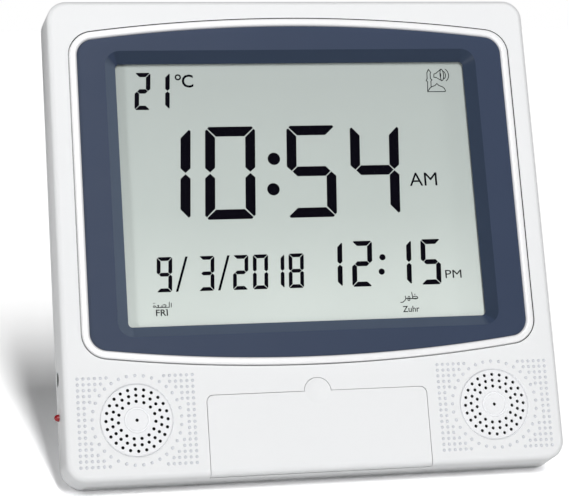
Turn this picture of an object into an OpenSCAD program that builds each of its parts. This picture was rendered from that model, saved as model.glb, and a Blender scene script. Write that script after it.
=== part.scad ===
// Table azan clock: a white moulded case that leans back on a fold-out stand, with a framed
// liquid-crystal display, two speakers behind drilled grilles and a drop-down door over the keys.
// Every piece is drawn flat, with x to the right, y up the face and z into the case from the face,
// and placed() then leans it back on its stand. All sizes are millimetres.

/* [Case] */
// Width of the case
case_w = 225; // [215:0.5:245]
// Height of the case, measured up its face
case_h = 218.8; // [216:0.2:235]
// Depth of the case from the face to the back
case_d = 30; // [29.5:0.5:34]
// How far the face leans back from upright, in degrees
lean = 20.5; // [17:0.5:23]
// Wall of the mouldings
wall = 2.2; // [1.8:0.1:2.4]
// Corner radius of the case
case_r = 9; // [8:0.5:11]
// Rounding of the edge round the face
front_fillet = 3; // [2.6:0.1:3.6]
// Rounding of the edge round the back
rear_fillet = 4; // [3:0.25:4.5]
// Depth of the front shell, to the parting line where the case is widest
parting_d = 20; // [19:0.25:20.5]
// Slope of the front shell's sides, which spread towards the parting line, in degrees
front_draft = 5; // [2:0.5:6]
// Slope of the rear cover's sides, which draw in towards the back, in degrees
rear_draft = 12; // [6:1:14]
// Gap between the shells at the parting line
parting_gap = 0.15; // [0.1:0.05:0.3]
// Height of the pad along the bottom edge that the case stands on
pad_h = 0.4; // [0.3:0.1:0.8]
// Half the length of that pad
pad_half = 86; // [60:1:92]

/* [Display] */
// Width of the face between the white trim ring and the sides of the case
side_band = 9.2; // [8:0.1:12]
// Height of the face between the trim ring and the top of the case
top_band = 9.1; // [8:0.1:12]
// Height of the face below the trim ring
low_band = 47.7; // [47.5:0.1:49]
// Radius of the gently bowed top and bottom edges
bow_r = 733; // [600:1:900]
// Corner radius of the trim ring
trim_r = 11.5; // [9:0.5:14]
// Width of the trim ring
trim_w = 3.5; // [3:0.1:4]
// How far the trim ring stands proud of the face
trim_proud = 1.3; // [0.8:0.1:2]
// Width of the ring and the bezel beside the visible window
bezel_side = 21.1; // [21:0.1:25]
// Width of the ring and the bezel above and below the window
bezel_top = 20.05; // [19.5:0.05:24]
// Corner radius of the window
window_r = 2; // [1:0.25:3]
// Width of the slope that runs down to the window
slope_w = 5.05; // [4:0.05:5.5]
// Depth of the bezel's flat behind the face
bezel_d = 0.3; // [0.1:0.1:0.6]
// Depth of the bottom of the slope behind the face
slope_d = 4.5; // [3.5:0.1:4.8]
// Thickness of the clear window
lens_t = 1.2; // [0.8:0.1:1.5]
// Thickness of the liquid-crystal panel
lcd_t = 2.4; // [1.8:0.1:2.6]
// Thickness of the backlight panel
backlight_t = 2.4; // [1.8:0.1:2.5]

/* [Speakers] */
// Distance of each speaker's middle from the side of the case
speaker_edge = 31.5; // [28.5:0.5:33.5]
// Height of the speakers above the bottom of the case
speaker_v = 26.1; // [25.4:0.1:26.6]
// Radius of the speaker's frame
speaker_r = 20; // [17:0.25:20.25]
// Depth of the speaker behind the face
speaker_depth = 13; // [11:0.5:15]
// Radius of the round grille
grille_r = 15.7; // [15:0.1:16]
// Thickness of the grille
grille_t = 1.4; // [1:0.1:1.6]
// Radius of each sound hole
sound_hole_r = 0.7; // [0.5:0.05:0.8]
// Radius of the outer ring of sound holes
hole_ring_r = 13.56; // [12.8:0.1:13.7]
// Radial step between the rings of sound holes
hole_ring_step = 2.67; // [2.3:0.05:2.7]
// Radius of the raised disc in the middle of the grille
grille_disc_r = 5.6; // [4.5:0.1:6]

/* [Key door] */
// Width of the door over the keys
door_w = 99.6; // [96:0.2:100.4]
// Height of the door
door_h = 35.5; // [34:0.1:36]
// Thickness of the door
door_t = 2; // [1.6:0.1:2]
// Radius of the finger tab
tab_r = 5.95; // [5:0.05:6.5]
// Radius of the door's hinge pins
door_pin_r = 1; // [0.8:0.05:1.1]
// Gap all round the door
door_gap = 0.25; // [0.2:0.05:0.4]

/* [Keys] */
// Distance between the columns of keys
key_pitch_x = 22; // [20:0.5:24]
// Distance between the rows of keys
key_pitch_v = 13; // [12.5:0.1:13.5]
// Height of the lower row
key_row_v = 13.5; // [13:0.1:14]
// Length of a key cap
key_l = 14; // [11:0.5:15]
// Width of a key cap
key_w = 6.4; // [5:0.1:6.6]
// How far a key goes in
key_travel = 0.8; // [0.5:0.1:1]
// Depth of the floor that the keys come through
bay_floor_d = 8; // [7.9:0.05:8.4]
// Thickness of that floor
bay_floor_t = 1.5; // [1.2:0.1:1.6]

/* [Left side] */
// Height of the power socket
socket_v = 47.5; // [46:0.5:52]
// Depth of the power socket's axis behind the face
socket_d = 15.5; // [14.5:0.1:15.6]
// Radius of the hole in the case for the plug
socket_hole_r = 3.4; // [3.2:0.1:3.8]
// Radius of the socket's centre pin
socket_pin_r = 1.05; // [0.6:0.05:1.3]
// Height of the red button
red_v = 30.5; // [28:0.5:32]
// Depth of the red button's axis behind the face
red_d = 15.5; // [14.5:0.25:16]
// Radius of the red button
red_r = 1.55; // [1.2:0.05:2]
// How far the red button goes in
red_travel = 0.8; // [0.5:0.1:1]

/* [Stand] */
// Length of the stand from its hinge
stand_len = 116.4; // [106:0.4:122]
// How far the open stand slants back from upright, in degrees
stand_slant = 8.7; // [7.5:0.1:11]
// Width of the stand
stand_w = 66; // [50:1:72]
// Thickness of the stand
stand_t = 3; // [2.4:0.1:3]
// Radius of the stand's hinge knuckle
knuckle_r = 2.6; // [2.3:0.1:2.8]
// Radius of the stand's hinge pins
stand_pin_r = 1.5; // [1.2:0.1:1.6]

/* [Battery bay] */
// Number of cells side by side
cell_count = 3; // [3]
// Radius of a cell
cell_r = 7.15; // [7:0.05:7.2]
// Length of a cell without its button
cell_l = 49; // [48:0.5:49.5]
// Height of the bay's middle above the stand's hinge
battery_rise = 34; // [32:0.5:38]
// Thickness of the battery door
battery_door_t = 2.2; // [2:0.1:2.4]

/* [Wall fixing] */
// Distance between the keyholes
keyhole_pitch = 120; // [100:1:140]
// Distance of the keyholes from the top of the case
keyhole_drop = 22.8; // [18:0.4:30]
// Radius of the round entry of a keyhole
keyhole_r = 4; // [3:0.25:4.5]
// Half the width of a keyhole's slot
keyhole_slot = 2.2; // [1.5:0.1:2.4]

/* [Inside] */
// Thickness of the circuit boards
board_t = 1.6; // [1.2:0.2:1.6]
// How far the main board's ends lie inside the window's
board_inset = 2.2; // [0:0.2:20]
// Height of the main board
board_h = 50; // [40:1:52]
// Radius of the screws' threads
screw_r = 1.25; // [1:0.05:1.4]
// Distance of the case screws from the edges of the case
boss_edge = 8.5; // [8:0.25:9]

/* [Hidden] */
$fn = 48;

fit = 0.05;                  // running clearance of a pin in its hole
slip = 0.15;                 // clearance round a piece that drops into a pocket
eps = 0.5;                   // how far a cut runs past the face it opens

// the sides spread from the edge of the face to the parting line and draw in again to the back
function spread(depth, fillet, draft) =
    (depth - fillet * (1 - sin(draft))) * tan(draft) - fillet * (1 - cos(draft));
girth = round(100 * spread(parting_d, front_fillet, front_draft)) / 100;
rear_depth = case_d - parting_d - parting_gap;
back_in = round(100 * spread(rear_depth, rear_fillet, rear_draft)) / 100;

// the display fills the face above the speakers
trim_half_w = case_w / 2 - side_band;
trim_half_h = (case_h - top_band - low_band) / 2;
display_v = low_band + trim_half_h;
window_half_w = trim_half_w - bezel_side;
window_half_h = trim_half_h - bezel_top;
speaker_x = case_w / 2 - speaker_edge;
boss_x = case_w / 2 - boss_edge;

// depths of the display stack, each resting on the one before
lip_t = 0.7;
lens_d = slope_d + lip_t;
lcd_d = lens_d + lens_t + 0.05;
holder_d = lcd_d + lcd_t + 0.05;
holder_t = 1.6;
board_d = holder_d + holder_t + 2.4;
backlight_d = holder_d;
ledge_d = 1.4;               // depth of the ledge that the trim ring rests on
ledge_w = 1.6;               // width of that ledge
flange_t = 1.5;              // thickness of the bezel's flange behind the face
flange_out = 3;              // how far the flange reaches past the trim ring
pocket_half_w = window_half_w + slope_w + 0.4;
pocket_half_h = window_half_h + slope_w + 0.4;
collar_t = 2.8;              // wall of the collar round the lens pocket
holder_post_x = pocket_half_w + 7.4;
holder_post_r = 3;
holder_post_v = 0.675 * pocket_half_h * [-1, 0, 1];
board_half_w = window_half_w - board_inset;
board_post_x = board_half_w - 5;
board_v = display_v - pocket_half_h - 1.5 + board_h / 2;

// the hinge of the key door runs through the middle of the case's bottom rounding
door_axis = front_fillet;
door_skirt = 1.6;            // how far the door's underside reaches past its hinge
door_swing = norm([door_skirt, door_axis]) + 0.3;
door_r = 3;
bay_ledge = 1.7;
bay_wall = 3;
bay_half_w = door_w / 2 - bay_ledge + door_gap;
bay_top_v = door_h - bay_ledge + door_gap;

key_top_d = bay_floor_d - 1.8;
key_flange = 0.8;
key_flange_t = 1;
key_slot = 0.3;
key_flange_d = bay_floor_d + bay_floor_t + 0.1;
switch_d = key_flange_d + key_flange_t + key_travel + 0.15;
key_board_d = switch_d + 2;
key_xs = [for (c = [0:3]) (c - 1.5) * key_pitch_x];
key_vs = [key_row_v + key_pitch_v, key_row_v];
key_post = [bay_half_w - 2.8, key_row_v + key_pitch_v / 2];

seat_d = case_d - wall;
web_d = parting_d + 2.5;     // depth of the web under each case screw's head
case_screw_d = parting_d - 9;

// the floor, seen from the case: it cuts the back edge of the pad
rear_v = back_in - girth;    // height of the back's lower edge
floor_z = (rear_v + rear_fillet) * cos(lean) - (case_d - rear_fillet) * sin(lean)
    - rear_fillet - pad_h;
pad_d = [case_d - rear_fillet + 0.2, case_d - 0.6];
function floor_v(d) = (floor_z + d * sin(lean)) / cos(lean);

// the stand lies in a recess in the back and turns about its knuckle, which sits at the height
// from which the open stand reaches the floor
foot_cut = 0.4;              // how much of the foot the floor's plane takes off
stand_d = case_d - 0.3 - stand_t;
stand_axis_d = case_d - 0.2 - knuckle_r;
hinge_z = stand_len * cos(stand_slant) - foot_cut;
stand_v = (hinge_z + floor_z + stand_axis_d * sin(lean)) / cos(lean);
stand_open = lean + stand_slant;
stand_foot_v = stand_v - stand_len;
stand_recess_d = stand_d - 0.3;
stand_recess_end = stand_foot_v - 0.4;
stand_side_gap = 0.8;
knuckle_recess_d = stand_axis_d - knuckle_r - 0.4;
stand_rim = 14;              // width of the stand's frame beside and above its window
stand_foot_h = 52;           // height of the solid part at the foot

// the bay for the cells
battery_v = stand_v + battery_rise;
cell_pitch = 2 * cell_r + 0.5;
contact_room = 4.2;
contact_t = 0.5;
button_l = 1.2;
cell_shift = contact_room - contact_t - 0.1 - button_l - 0.1;
tray_half_l = cell_l / 2 + contact_room;
tray_half_h = cell_count * cell_pitch / 2 + 0.2;
tray_wall = 1.5;
cell_d = case_d - battery_door_t - 0.3 - cell_r;
tray_floor_d = cell_d - cell_r - 0.1;
// its door has a half-round lower edge that turns on two small pins
battery_axis_v = battery_v - tray_half_h - 0.2;
battery_axis_d = case_d - battery_door_t / 2;
battery_pin_r = 0.6;
door_lap = 1.4;              // how far the battery door overlaps the edge of its bay

// the red button and the socket look out of the left side
side_x = -case_w / 2 - spread(socket_d, front_fillet, front_draft);
red_proud = 2.2;
side_gap = 0.55;             // room between the sloping side and the square pieces behind it
side_board_x = side_x + 13.5;
side_board_d = socket_d - 2;
side_board_w = 12;

// the object stands on z = 0 with the middle of its outline over the origin
front_y = front_fillet * (cos(lean) + sin(lean)) - front_fillet;
back_y = (case_d - rear_fillet) * cos(lean) + (case_h - rear_v - rear_fillet) * sin(lean)
    + rear_fillet;
middle_x = (red_proud - side_x - case_w / 2 - girth) / 2;

module placed() {
    translate([middle_x, -(front_y + back_y) / 2, -floor_z])
        rotate([-lean, 0, 0])
            rotate([90, 0, 0])
                mirror([0, 0, 1])
                    children();
}

// ---- shapes used by several pieces ----

module rounded_rect(w, h, r) {
    square([w - 2 * r, h], center = true);
    square([w, h - 2 * r], center = true);
    for (x = [-1, 1], y = [-1, 1])
        translate([x * (w / 2 - r), y * (h / 2 - r)])
            circle(r);
}

module slab(w, h, t, r = 1) {
    linear_extrude(t)
        rounded_rect(w, h, r);
}

module post(x, v, d0, d1, r) {
    translate([x, v, d0])
        cylinder(h = d1 - d0, r = r);
}

// half section of a case edge: depth runs up, the edge of the face is at 0 and the side slopes out
module edge_section(reach, depth, fillet, draft) {
    far = 3 * fillet;
    bite = 0.01 * fillet;    // lets the rounding cross the faces that it joins
    difference() {
        polygon([
            [-spread(0, fillet, draft), 0], [reach, 0], [reach, depth],
            [-spread(depth, fillet, draft), depth]
        ]);
        translate([fillet - bite, fillet - bite])
            difference() {
                polygon([[0, 0], [0, -far], [-far, -far], -far * [cos(draft), sin(draft)]]);
                circle(fillet);
            }
    }
}

// a block with rounded corners and sloping sides whose front edge is rounded all the way round
module soft_box(w, h, r, depth, fillet, draft) {
    for (s = [0, 1])
        mirror([0, s, 0])
            translate([-(w / 2 - r), -h / 2, 0])
                rotate([90, 0, 90])
                    linear_extrude(w - 2 * r)
                        edge_section(r, depth, fillet, draft);
    for (s = [0, 1])
        mirror([s, 0, 0])
            translate([-w / 2, h / 2 - r, 0])
                rotate([90, 0, 0])
                    linear_extrude(h - 2 * r)
                        edge_section(r, depth, fillet, draft);
    for (sx = [0, 1], sy = [0, 1])
        mirror([sx, 0, 0])
            mirror([0, sy, 0])
                translate([w / 2 - r, h / 2 - r, 0])
                    rotate_extrude(angle = 90)
                        intersection() {
                            translate([r, 0])
                                mirror([1, 0])
                                    edge_section(r + 1, depth, fillet, draft);
                            translate([0, -depth])
                                square([2 * r, 3 * depth]);
                        }
    translate([-(w / 2 - r), -(h / 2 - r), 0])
        cube([w - 2 * r, h - 2 * r, depth]);
}

// one shell of the case: open at the back, wall thick, with rounded edges inside and out;
// its outline lies out beyond the edge of the face by out
module shell(out, depth, fillet, draft) {
    w = case_w + 2 * out;
    h = case_h + 2 * out;
    r = case_r + out;
    translate([0, case_h / 2, 0])
        difference() {
            soft_box(w, h, r, depth, fillet, draft);
            translate([0, 0, wall])
                soft_box(w - 2 * wall, h - 2 * wall, r - wall, depth, max(fillet - wall, 0.5),
                         draft);
        }
}

// outline of the display: straight sides, bowed top and bottom and round corners, drawn in by q
corner_steps = 8;
bow_steps = 8;
bow_y = bow_r - trim_half_h;
corner_x = trim_half_w - trim_r;
corner_y = sqrt((bow_r - trim_r) ^ 2 - corner_x ^ 2) - bow_y;
corner_turn = atan2(corner_y + bow_y, corner_x);

function quarter_outline(q) = concat(
    [for (i = [0:corner_steps]) let (a = corner_turn * i / corner_steps)
        [corner_x + (trim_r - q) * cos(a), corner_y + (trim_r - q) * sin(a)]],
    [for (i = [1:bow_steps - 1]) let (a = corner_turn + (90 - corner_turn) * i / bow_steps)
        [(bow_r - q) * cos(a), (bow_r - q) * sin(a) - bow_y]]
);
function flipped(pts, sx, sy) = [for (p = pts) [sx * p[0], sy * p[1]]];
function backwards(pts) = [for (i = [len(pts) - 1:-1:0]) pts[i]];
function display_outline(q) = let (p = quarter_outline(q), apex = trim_half_h - q) concat(
    p, [[0, apex]], backwards(flipped(p, -1, 1)), flipped(p, -1, -1), [[0, -apex]],
    backwards(flipped(p, 1, -1))
);

module display_shape(q) {
    translate([0, display_v])
        polygon(display_outline(q));
}

// a ring round the display, lofted through a closed section of [inset, depth] points
module display_loft(section) {
    rings = [for (s = section) [for (p = display_outline(s[0])) [p[0], p[1], s[1]]]];
    n = len(rings[0]);
    m = len(rings);
    points = [for (ring = rings) each ring];
    faces = [for (i = [0:m - 1], j = [0:n - 1]) let (k = (i + 1) % m, l = (j + 1) % n) each [
        [i * n + j, i * n + l, k * n + l],
        [i * n + j, k * n + l, k * n + j]
    ]];
    translate([0, display_v, 0])
        polyhedron(points, faces);
}

// ---- the case ----

module door_outline(gap) {
    intersection() {
        translate([0, (door_h + gap) / 2 - door_h / 2])
            rounded_rect(door_w + 2 * gap, 2 * door_h + gap, door_r);
        translate([-door_w, 0])
            square([2 * door_w, 2 * door_h]);
    }
    translate([0, door_h])
        circle(tab_r + gap);
}

module key_shape(grow) {
    rounded_rect(key_l + 2 * grow, key_w + 2 * grow, key_w / 2 + grow - 0.01);
}

module at_keys() {
    for (v = key_vs, x = key_xs)
        translate([x, v, 0])
            children();
}

module bay_body() {
    reach = bay_half_w + bay_wall;
    translate([-reach, wall / 2, wall / 2])
        cube([2 * reach, bay_top_v + bay_wall - wall / 2, bay_floor_d + bay_floor_t - wall / 2]);
    translate([0, door_h + 0.6, wall / 2])
        cylinder(h = wall, r = tab_r + 1.4);
}

module bay_space() {
    translate([-bay_half_w, wall, wall])
        cube([2 * bay_half_w, bay_top_v - wall, bay_floor_d - wall]);
    translate([-(door_w / 2 + door_gap), door_axis, door_axis])
        rotate([0, 90, 0])
            cylinder(h = door_w + 2 * door_gap, r = door_swing);
}

module hinge_cheeks() {
    for (s = [-1, 1])
        translate([s * (door_w / 2 + door_gap + 1.9) - 1.9, 0.35 * door_axis, 0.35 * door_axis])
            cube([3.8, 2 * door_axis, 2 * door_axis]);
}

module hinge_line(reach, r) {
    translate([-reach, door_axis, door_axis])
        rotate([0, 90, 0])
            cylinder(h = 2 * reach, r = r);
}

module boss_places() {
    for (x = [-boss_x, boss_x], v = [boss_edge, case_h - boss_edge])
        translate([x, v, 0])
            children();
}

module front_case() {
    color("white")
        placed()
            difference() {
                union() {
                    shell(0, parting_d, front_fillet, front_draft);
                    bay_body();
                    hinge_cheeks();
                    for (x = [-speaker_x, speaker_x])
                        post(x, speaker_v, wall / 2, wall + 4, speaker_r + slip + 1.8);
                    boss_places()
                        translate([0, 0, wall / 2])
                            cylinder(h = parting_d - wall / 2, r = 3.4);
                    for (x = [-key_post[0], key_post[0]])
                        post(x, key_post[1], bay_floor_d, key_board_d, 2.2);
                    // posts for the little board behind the left side
                    for (d = [side_board_d - 3.4, side_board_d + 3.4])
                        from_left((socket_v + red_v) / 2, d)
                            translate([0, 0, wall / 2])
                                cylinder(h = side_board_x - side_x - wall / 2, r = 2);
                }
                // the display's seat and opening
                translate([0, 0, -eps])
                    linear_extrude(ledge_d + eps)
                        display_shape(-slip);
                linear_extrude(wall + eps)
                    display_shape(ledge_w);
                // speakers and their grilles
                for (x = [-speaker_x, speaker_x]) {
                    post(x, speaker_v, wall, wall + 5, speaker_r + slip);
                    post(x, speaker_v, -eps, grille_t, grille_r + slip);
                    post(x, speaker_v, -eps, wall + eps, grille_r - 1.1);
                }
                // the door, the bay behind it and the keys
                translate([0, 0, -eps])
                    linear_extrude(wall + eps)
                        door_outline(door_gap);
                bay_space();
                translate([-(door_w / 2 + door_gap), -eps, -eps])
                    cube([door_w + 2 * door_gap, door_axis + eps, door_axis + eps]);
                hinge_line(door_w / 2 + 2.2, door_pin_r + fit);
                at_keys()
                    translate([0, 0, bay_floor_d - eps])
                        linear_extrude(bay_floor_t + 2 * eps)
                            key_shape(key_slot);
                for (x = [-key_post[0], key_post[0]])
                    post(x, key_post[1], bay_floor_d + 1, key_board_d + eps, screw_r + fit);
                boss_places()
                    translate([0, 0, wall + 1])
                        cylinder(h = parting_d, r = screw_r + fit);
                // the hole for the plug and the one for the red button
                from_left(socket_v, socket_d)
                    translate([0, 0, -eps - 1])
                        cylinder(h = wall + 1.6 + 2 * eps, r = socket_hole_r);
                from_left(red_v, red_d)
                    translate([0, 0, -eps - 1])
                        cylinder(h = wall + 1.6 + 2 * eps, r = red_r + 0.2);
            }
}

module stand_recess() {
    reach = stand_w / 2 + stand_side_gap;
    translate([-reach, stand_recess_end, stand_recess_d])
        cube([2 * reach, stand_v + knuckle_r + 0.9 - stand_recess_end, case_d]);
    translate([-reach, stand_v - 7, knuckle_recess_d])
        cube([2 * reach, 7 + knuckle_r + 0.9, case_d]);
}

module stand_well() {
    reach = stand_w / 2 + stand_side_gap + 3;
    translate([-reach, wall / 2, stand_recess_d - 1.8])
        cube([2 * reach, stand_v + knuckle_r + 3, case_d - wall / 2 - stand_recess_d + 1.8]);
    translate([-reach, stand_v - 9, knuckle_recess_d - 1.8])
        cube([2 * reach, 9 + knuckle_r + 3, 6]);
}

module tray_body() {
    translate([0, battery_v, tray_floor_d - 1])
        slab(2 * (tray_half_l + tray_wall + door_lap + 0.8), 2 * (tray_half_h + tray_wall + 2),
             case_d - wall / 2 - tray_floor_d + 1, 2);
}

module tray_space() {
    translate([-tray_half_l, battery_v - tray_half_h, tray_floor_d])
        cube([2 * tray_half_l, 2 * tray_half_h, case_d]);
    translate([0, battery_v, case_d - battery_door_t - 0.2])
        slab(2 * (tray_half_l + door_lap + 0.2), 2 * (tray_half_h + door_lap + 0.2), case_d, 0.2);
}

module battery_hinge(reach, r) {
    translate([-reach, battery_axis_v, battery_axis_d])
        rotate([0, 90, 0])
            cylinder(h = 2 * reach, r = r);
}

module keyhole() {
    post(0, 0, seat_d - eps, case_d + eps, keyhole_r);
    translate([-keyhole_slot, 0, seat_d - eps])
        cube([2 * keyhole_slot, keyhole_r + 4, wall + 2 * eps]);
    post(0, keyhole_r + 4, seat_d - eps, case_d + eps, keyhole_slot);
}

// pad along the bottom edge: its face lies level on the floor
module base_pad() {
    rotate([90, 0, 90])
        translate([0, 0, -pad_half])
            linear_extrude(2 * pad_half)
                polygon([
                    [rear_v + wall, pad_d[0]], [floor_v(pad_d[0]), pad_d[0]],
                    [floor_v(pad_d[1]), pad_d[1]], [rear_v + rear_fillet, pad_d[1]],
                    [rear_v + rear_fillet, seat_d]
                ]);
}

module from_left(v, d) {
    translate([side_x, v, d])
        rotate([0, 90, 0])
            children();
}

module rear_cover() {
    color("whitesmoke")
        placed()
            difference() {
                union() {
                    translate([0, 0, case_d])
                        mirror([0, 0, 1])
                            shell(girth - back_in, rear_depth, rear_fillet, rear_draft);
                    base_pad();
                    stand_well();
                    tray_body();
                    boss_places()
                        translate([0, 0, parting_d + parting_gap])
                            cylinder(h = case_d - wall / 2 - parting_d - parting_gap, r = 5);
                }
                stand_recess();
                tray_space();
                // hinge holes of the stand and the battery door
                translate([-(stand_w / 2 + 2.9), stand_v, stand_axis_d])
                    rotate([0, 90, 0])
                        cylinder(h = stand_w + 5.8, r = stand_pin_r + fit);
                battery_hinge(tray_half_l + door_lap + 1.8, battery_pin_r + fit);
                boss_places() {
                    post(0, 0, parting_d - eps, case_d, screw_r + 0.4);
                    post(0, 0, web_d, case_d + eps, 3.4);
                }
                for (x = [-keyhole_pitch / 2, keyhole_pitch / 2])
                    translate([x, case_h - keyhole_drop, 0])
                        keyhole();
            }
}

// ---- the display ----

module trim_ring() {
    crown = trim_proud;
    w = trim_w;
    color("white")
        placed()
            display_loft([
                [0, ledge_d], [0, -0.25 * crown], [0.1 * w, -0.65 * crown],
                [0.25 * w, -0.93 * crown], [0.45 * w, -crown], [0.65 * w, -0.93 * crown],
                [0.85 * w, -0.6 * crown], [w, 0], [w, ledge_d]
            ]);
}

module window_slope() {
    half_w = window_half_w + slope_w;
    half_h = window_half_h + slope_w;
    r = window_r + slope_w;
    depth = slope_d - bezel_d;
    cx = half_w - r;
    cy = half_h - r;
    translate([0, display_v, bezel_d]) {
        for (x = [-cx, cx], y = [-cy, cy])
            translate([x, y, 0])
                cylinder(h = depth, r1 = r, r2 = window_r);
        for (s = [0, 1])
            mirror([0, s, 0])
                translate([-cx, 0, 0])
                    rotate([90, 0, 90])
                        linear_extrude(2 * cx)
                            polygon([[0, 0], [half_h, 0], [window_half_h, depth], [0, depth]]);
        for (s = [0, 1])
            mirror([s, 0, 0])
                translate([0, cy, 0])
                    rotate([90, 0, 0])
                        linear_extrude(2 * cy)
                            polygon([[0, 0], [half_w, 0], [window_half_w, depth], [0, depth]]);
        translate([0, 0, -eps])
            linear_extrude(eps + 0.01)
                rounded_rect(2 * half_w, 2 * half_h, r);
    }
    translate([0, display_v, slope_d - 0.01])
        slab(2 * window_half_w, 2 * window_half_h, lip_t + 1, window_r);
}

module holder_places() {
    for (x = [-holder_post_x, holder_post_x], v = holder_post_v)
        translate([x, display_v + v, 0])
            children();
}

module bezel() {
    color([0.2, 0.24, 0.34])
        placed()
            difference() {
                union() {
                    translate([0, 0, bezel_d])
                        linear_extrude(wall + flange_t - bezel_d)
                            display_shape(trim_w + slip);
                    translate([0, 0, wall])
                        linear_extrude(flange_t)
                            display_shape(-flange_out);
                    translate([0, display_v, wall])
                        slab(2 * (pocket_half_w + collar_t), 2 * (pocket_half_h + collar_t),
                             holder_d - wall, 4);
                    holder_places()
                        translate([0, 0, wall])
                            cylinder(h = holder_d - wall, r = holder_post_r);
                }
                window_slope();
                translate([0, display_v, lens_d])
                    slab(2 * pocket_half_w, 2 * pocket_half_h, 20, 1);
                holder_places()
                    translate([0, 0, wall + 0.8])
                        cylinder(h = 20, r = screw_r + fit);
            }
}

module display_lens() {
    color([0.85, 0.9, 0.92, 0.3])
        placed()
            translate([0, display_v, lens_d])
                slab(2 * (pocket_half_w - slip), 2 * (pocket_half_h - slip), lens_t, 1);
}

module lcd_panel() {
    color([0.76, 0.81, 0.77])
        placed()
            translate([0, display_v, lcd_d])
                slab(2 * (pocket_half_w - slip), 2 * (pocket_half_h - slip), lcd_t, 0.8);
}

strip_v = display_v - pocket_half_h + 2.6;
strip_half_w = window_half_w - 12.2;

module backlight_panel() {
    color([0.95, 0.97, 0.95])
        placed()
            translate([0, display_v, backlight_d])
                slab(2 * (window_half_w - 0.5), 2 * (window_half_h - 0.5), backlight_t, 1);
}

module board_places() {
    for (x = [-board_post_x, board_post_x], y = [-1, 1])
        translate([x, board_v + y * (board_h / 2 - 4), 0])
            children();
}

module lcd_holder() {
    color([0.9, 0.9, 0.88])
        placed()
            difference() {
                union() {
                    translate([0, display_v, holder_d])
                        slab(2 * (pocket_half_w + collar_t), 2 * (pocket_half_h + collar_t),
                             holder_t, 4);
                    for (v = holder_post_v)
                        translate([0, display_v + v, holder_d])
                            linear_extrude(holder_t)
                                rounded_rect(2 * (holder_post_x + holder_post_r + 0.6), 7.2, 3.59);
                    board_places()
                        translate([0, 0, holder_d])
                            cylinder(h = board_d - holder_d, r = 2.4);
                    for (x = [-board_post_x, board_post_x])
                        translate([x - 2, display_v - window_half_h - 1, holder_d + backlight_t + 0.1])
                            cube([4, board_h - 2, board_d - holder_d - backlight_t - 0.1]);
                }
                translate([0, display_v, holder_d - eps])
                    slab(2 * window_half_w, 2 * window_half_h, backlight_t + eps, 1);
                translate([-strip_half_w - 0.3, strip_v - 1.5, holder_d - eps])
                    cube([2 * strip_half_w + 0.6, 3, 3]);
                holder_places()
                    translate([0, 0, holder_d - eps])
                        cylinder(h = 3, r = screw_r + 0.3);
                board_places()
                    translate([0, 0, holder_d + backlight_t + 0.4])
                        cylinder(h = 6, r = screw_r + fit);
            }
}

module connector_strip() {
    color([0.9, 0.45, 0.6])
        placed()
            translate([-strip_half_w, strip_v - 1.2, lcd_d + lcd_t])
                cube([2 * strip_half_w, 2.4, board_d - lcd_d - lcd_t]);
}

module screw(length, head_r) {
    cylinder(h = length, r = screw_r);
    translate([0, 0, length])
        cylinder(h = 1.6, r = head_r);
}

module holder_screws() {
    color("silver")
        placed()
            holder_places()
                translate([0, 0, wall + 1.2])
                    screw(holder_d + holder_t - wall - 1.2, 2.5);
}

// ---- the boards ----

module main_board() {
    color([0.1, 0.35, 0.2])
        placed()
            difference() {
                translate([0, board_v, board_d])
                    slab(2 * board_half_w, board_h, board_t, 1.5);
                board_places()
                    translate([0, 0, board_d - eps])
                        cylinder(h = board_t + 2 * eps, r = screw_r + 0.2);
            }
}

// a place on the board, with x as a share of the board's half width
module on_board(share, v) {
    translate([share * board_half_w, board_v + v, board_d + board_t])
        children();
}

module clock_chip() {
    color([0.12, 0.12, 0.13])
        placed()
            on_board(-0.25, 2)
                slab(14, 14, 1.6, 0.4);
}

module sound_chip() {
    color([0.12, 0.12, 0.13])
        placed()
            on_board(0.3, 4)
                slab(10, 6, 1.5, 0.4);
}

module quartz_crystal() {
    color("silver")
        placed()
            on_board(-0.45, 4)
                translate([0, -4, 1.3])
                    rotate([-90, 0, 0])
                        cylinder(h = 8, r = 1.3);
}

module capacitors() {
    color([0.15, 0.2, 0.4])
        placed()
            for (share = [0.5, 0.65])
                on_board(share, -8)
                    cylinder(h = 6, r = 3.2);
}

module temperature_sensor() {
    color([0.1, 0.1, 0.1])
        placed()
            on_board(-0.825, -14)
                intersection() {
                    translate([0, 0, 1.8])
                        sphere(2);
                    cylinder(h = 5, r = 3);
                }
}

module key_board() {
    color([0.1, 0.35, 0.2])
        placed()
            difference() {
                translate([0, key_post[1], key_board_d])
                    slab(2 * bay_half_w, 2 * key_pitch_v, board_t, 1.5);
                for (x = [-key_post[0], key_post[0]])
                    post(x, key_post[1], key_board_d - eps, key_board_d + 3, screw_r + 0.2);
            }
}

module key_switches() {
    color([0.2, 0.2, 0.22])
        placed()
            at_keys() {
                translate([0, 0, switch_d + 0.4])
                    slab(6, 6, key_board_d - switch_d - 0.4, 0.5);
                translate([0, 0, switch_d])
                    cylinder(h = 1, r = 1.7);
            }
}

module case_screws() {
    color("silver")
        placed()
            boss_places()
                translate([0, 0, case_screw_d])
                    screw(web_d - case_screw_d, 2.9);
}

module board_screws() {
    color("silver")
        placed() {
            board_places()
                translate([0, 0, holder_d + backlight_t + 0.7])
                    screw(board_d + board_t - holder_d - backlight_t - 0.7, 2.3);
            for (x = [-key_post[0], key_post[0]])
                translate([x, key_post[1], bay_floor_d + 1.5])
                    screw(key_board_d + board_t - bay_floor_d - 1.5, 2.3);
        }
}

// ---- speakers ----

// sound holes in rings, each ring starting at the top, with one hole in the middle
ring_holes = [24, 21, 15];

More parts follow.
